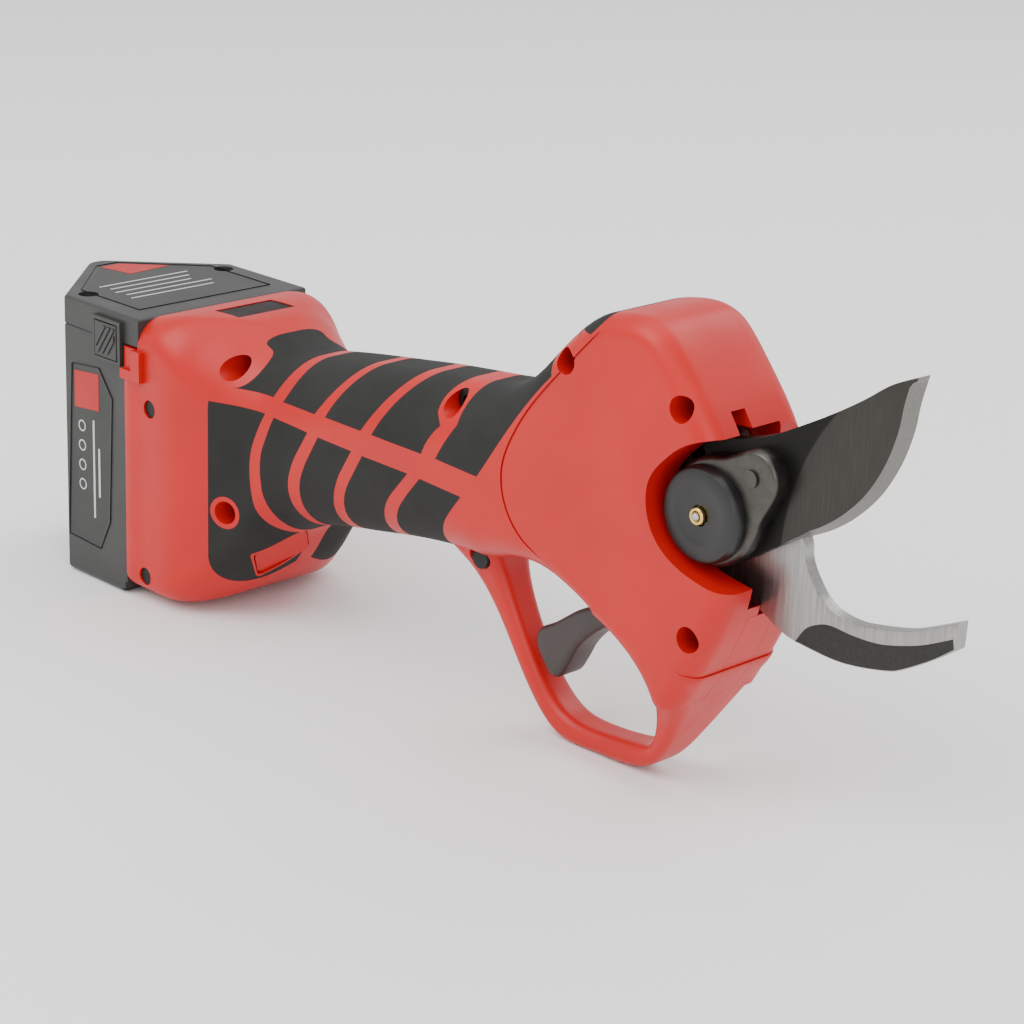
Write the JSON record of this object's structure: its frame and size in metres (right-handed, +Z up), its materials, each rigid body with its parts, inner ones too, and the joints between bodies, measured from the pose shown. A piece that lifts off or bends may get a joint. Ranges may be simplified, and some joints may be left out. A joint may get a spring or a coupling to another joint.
{
  "type": "battery electric pruner",
  "caption": "Cordless electric pruning shears: pistol body with trigger and finger guard, motor-driven curved blade closing on a fixed hook, slide-on battery.",
  "frame": {"origin": "foot of the battery at the middle of the tool, on the plane it rests on, 20 mm behind the face where battery and housing join", "axes": "+X from battery to blades, along the tool; +Z up, away from the guard; -Y is the side with the pivot knob"},
  "size_m": [0.2899, 0.0568, 0.1072],
  "materials": {
    "red_plastic": "fine moulded texture",
    "black_rubber": "matte",
    "dark_plastic": "fine texture",
    "trigger_plastic": "satin",
    "clear_window": "smooth tinted",
    "coated_steel": "satin low-friction coating",
    "bright_steel": "ground",
    "zinc_steel": "plated",
    "brass": "turned",
    "copper_winding": "wound",
    "aluminium": "machined",
    "green_board": "lacquered",
    "black_parts": "moulded",
    "cell_wrap": "shrink film",
    "label_print": "printed film",
    "wire_jacket": "smooth"
  },
  "bodies": {
    "housing": {"housing_right": "red_plastic", "housing_left": "red_plastic", "trigger_guard": "red_plastic", "grip_rubber_right": "black_rubber", "grip_rubber_left": "black_rubber", "display_window": "clear_window", "power_switch": "black_parts", "battery_mount_plate": "dark_plastic", "tool_contacts": "brass", "controller_board": "green_board", "board_components": "black_parts", "motor_can": "zinc_steel", "motor_stator": "copper_winding", "motor_bearings": "zinc_steel", "ring_gear": "zinc_steel", "screw_bearing": "zinc_steel", "bearing_block": "aluminium", "chassis_plate": "zinc_steel", "counter_blade": "bright_steel", "counter_blade_screws": "zinc_steel", "pivot_bolt": "zinc_steel", "pivot_nut": "zinc_steel", "pivot_cap": "dark_plastic", "grease_nipple": "brass", "nipple_ball": "bright_steel", "trigger_pin": "zinc_steel", "trigger_spring": "zinc_steel", "trigger_sensor": "black_parts", "housing_screws": "zinc_steel", "guard_screw": "zinc_steel", "mount_plate_screws": "zinc_steel", "wiring": "wire_jacket"},
    "button": {"power_button": "red_plastic"},
    "rotor": {"motor_rotor": "zinc_steel", "sun_gear": "zinc_steel"},
    "screw": {"planet_carrier": "zinc_steel", "lead_screw": "zinc_steel"},
    "planet_a": {"planet_gear_1": "zinc_steel"},
    "planet_b": {"planet_gear_2": "zinc_steel"},
    "planet_c": {"planet_gear_3": "zinc_steel"},
    "nut": {"screw_nut": "zinc_steel", "drive_link": "zinc_steel", "link_pin": "zinc_steel"},
    "blade": {"cutting_blade": "coated_steel", "blade_bush": "brass", "blade_bracket": "coated_steel", "bracket_rivet": "bright_steel", "crank_pin": "zinc_steel"},
    "trigger": {"trigger": "trigger_plastic"},
    "battery": {"battery_case": "dark_plastic", "battery_cap": "dark_plastic", "battery_cells": "cell_wrap", "cell_holders": "black_parts", "battery_board": "green_board", "battery_terminals": "brass", "battery_label_top": "label_print", "battery_label_side": "label_print", "cap_screws": "zinc_steel"},
    "latch_a": {"latch_right": "dark_plastic"},
    "latch_b": {"latch_left": "dark_plastic"}
  },
  "joints": [
    {"name": "motor_spin", "type": "hinge", "parent": "housing", "child": "rotor", "pos_m": [0.07904, 0, 0.05056], "axis": [0.988, 0, 0.1547], "range_deg": [0, 6017]},
    {"name": "screw_spin", "type": "hinge", "parent": "housing", "child": "screw", "pos_m": [0.12152, 0, 0.05721], "axis": [0.988, 0, 0.1547], "range_deg": [0, 1368]},
    {"name": "planet_a_spin", "type": "hinge", "parent": "screw", "child": "planet_a", "pos_m": [0.10186, -0.00743, 0.05413], "axis": [0.988, 0, 0.1547], "range_deg": [-3876, 0]},
    {"name": "planet_b_spin", "type": "hinge", "parent": "screw", "child": "planet_b", "pos_m": [0.10285, 0.00371, 0.04778], "axis": [0.988, 0, 0.1547], "range_deg": [-3876, 0]},
    {"name": "planet_c_spin", "type": "hinge", "parent": "screw", "child": "planet_c", "pos_m": [0.10086, 0.00371, 0.06048], "axis": [0.988, 0, 0.1547], "range_deg": [-3876, 0]},
    {"name": "nut_slide", "type": "slide", "parent": "housing", "child": "nut", "axis": [0.988, 0, 0.1547], "range_m": [0, 0.01141]},
    {"name": "blade_pivot", "type": "hinge", "parent": "housing", "child": "blade", "pos_m": [0.2012, -0.006, 0.0677], "axis": [0, 1, 0], "range_deg": [0, 52.1]},
    {"name": "trigger_pull", "type": "hinge", "parent": "housing", "child": "trigger", "pos_m": [0.18, -0.00275, 0.042], "axis": [0, 1, 0], "range_deg": [0, 13], "stiffness_Nm_per_rad": 0.4, "springref_deg": -8.59, "deforming": ["trigger_spring"]},
    {"name": "power_button_press", "type": "slide", "parent": "housing", "child": "button", "axis": [-0.7896, 0.2399, 0.5647], "range_m": [0, 0.001], "stiffness_N_per_m": 800, "springref_m": -0.0008},
    {"name": "battery_slide", "type": "slide", "parent": "housing", "child": "battery", "axis": [0, 0, 1], "range_m": [0, 0.09]},
    {"name": "latch_right_press", "type": "slide", "parent": "battery", "child": "latch_a", "axis": [0, 1, 0], "range_m": [0, 0.002], "stiffness_N_per_m": 600, "springref_m": -0.001},
    {"name": "latch_left_press", "type": "slide", "parent": "battery", "child": "latch_b", "axis": [0, -1, 0], "range_m": [0, 0.002], "stiffness_N_per_m": 600, "springref_m": -0.001}
  ],
  "couplings": [
    {"joint": "screw_spin", "follows": "motor_spin", "ratio": 0.22727},
    {"joint": "planet_a_spin", "follows": "motor_spin", "ratio": -0.64394},
    {"joint": "planet_b_spin", "follows": "motor_spin", "ratio": -0.64394},
    {"joint": "planet_c_spin", "follows": "motor_spin", "ratio": -0.64394},
    {"joint": "nut_slide", "follows": "motor_spin", "m_per_rad": 0.00010857},
    {"joint": "blade_pivot", "follows": "motor_spin", "ratio": 0.0086438}
  ]
}
